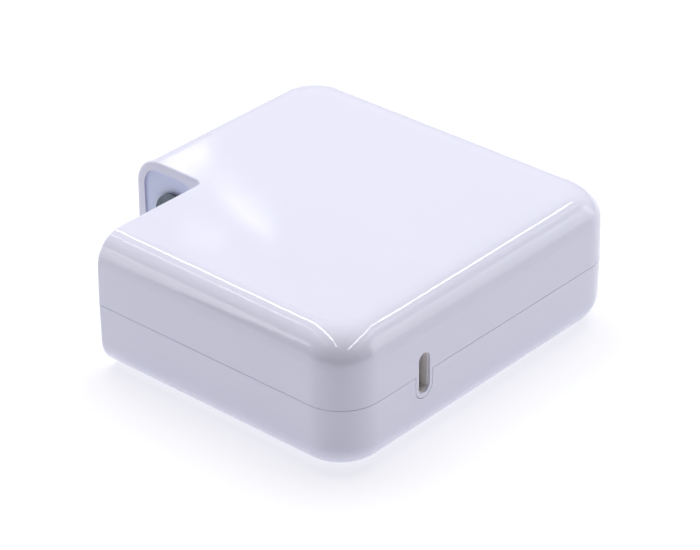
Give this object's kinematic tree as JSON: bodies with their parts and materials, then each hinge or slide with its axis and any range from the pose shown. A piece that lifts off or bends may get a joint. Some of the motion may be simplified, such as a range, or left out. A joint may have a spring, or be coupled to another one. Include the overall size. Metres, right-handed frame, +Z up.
{
  "type": "laptop power adapter",
  "caption": "Square rounded white power brick with a USB-C outlet in one side and a cut-away corner with a stud and supply inlet for a removable plug head.",
  "frame": {"origin": "middle of the underside, on the surface that the adapter lies on", "axes": "+Z up out of the broad top face, through the adapter's thickness; +X out of the side with the USB-C outlet; the corner at -X, -Y is cut away for the plug head"},
  "size_m": [0.08, 0.08, 0.0285],
  "materials": {
    "case_plastic": "glossy white moulded polycarbonate",
    "panel_plastic": "fine matt light grey",
    "socket_plastic": "satin off-white",
    "stud_metal": "dark nickel-plated, turned",
    "pin_metal": "nickel-plated brass",
    "fastener_steel": "zinc-plated",
    "tinned_copper": "tin-plated copper",
    "earth_insulation": "green insulation",
    "live_insulation": "brown insulation",
    "neutral_insulation": "blue insulation",
    "usb_steel": "drawn stainless shell",
    "usb_tongue_plastic": "black liquid-crystal polymer",
    "contact_gold": "gold-plated",
    "board_laminate": "green solder mask",
    "chip_black": "black epoxy",
    "chip_ceramic": "fired ceramic",
    "varistor_coat": "blue epoxy coat",
    "thermistor_coat": "dark green coat",
    "film_cap_case": "yellow box",
    "ferrite": "sintered ferrite",
    "bobbin_plastic": "black phenolic",
    "enamelled_copper": "enamelled copper wire",
    "winding_tape": "yellow polyester tape",
    "capacitor_can": "sleeved can",
    "polymer_can": "bare can",
    "seal_rubber": "black seal",
    "sink_aluminium": "milled plate",
    "film_polyester": "black polyester film",
    "pad_silicone": "soft grey silicone"
  },
  "bodies": {
    "root": {"boost_choke_bobbin": "bobbin_plastic", "boost_choke_core": "ferrite", "boost_choke_tape": "winding_tape", "boost_choke_winding": "enamelled_copper", "bottom_case": "case_plastic", "bridge_rectifier": "chip_black", "bulk_capacitor_1_can": "capacitor_can", "bulk_capacitor_1_seal": "seal_rubber", "bulk_capacitor_2_can": "capacitor_can", "bulk_capacitor_2_seal": "seal_rubber", "control_chips": "chip_black", "disc_capacitors": "varistor_coat", "film_capacitor": "film_cap_case", "fuse": "chip_black", "ground_nut": "fastener_steel", "ground_stud": "stud_metal", "ground_terminal": "tinned_copper", "ground_washer": "fastener_steel", "ground_wire": "earth_insulation", "heat_sink": "sink_aluminium", "inlet_pin_live": "pin_metal", "inlet_pin_neutral": "pin_metal", "inlet_socket": "socket_plastic", "input_choke_1_core": "ferrite", "input_choke_1_winding": "enamelled_copper", "input_choke_2_core": "ferrite", "input_choke_2_winding": "enamelled_copper", "inrush_thermistor": "thermistor_coat", "live_wire": "live_insulation", "lower_film": "film_polyester", "lower_heat_spreader": "sink_aluminium", "main_board": "board_laminate", "neutral_wire": "neutral_insulation", "optocouplers": "chip_black", "outlet_controller": "chip_black", "output_capacitors": "polymer_can", "output_choke_core": "ferrite", "output_choke_winding": "enamelled_copper", "power_transistors": "chip_black", "rectifier_transistors": "chip_black", "small_parts": "chip_ceramic", "stud_panel": "panel_plastic", "thermal_pads": "pad_silicone", "top_case": "case_plastic", "transformer_bobbin": "bobbin_plastic", "transformer_core": "ferrite", "transformer_primary": "enamelled_copper", "transformer_secondary": "enamelled_copper", "transformer_tape": "winding_tape", "transistor_screws": "fastener_steel", "upper_film": "film_polyester", "upper_heat_spreader": "sink_aluminium", "usb_board": "board_laminate", "usb_board_pins": "tinned_copper", "usb_contacts": "contact_gold", "usb_shell": "usb_steel", "usb_tongue": "usb_tongue_plastic", "varistor": "varistor_coat"}
  },
  "joints": []
}
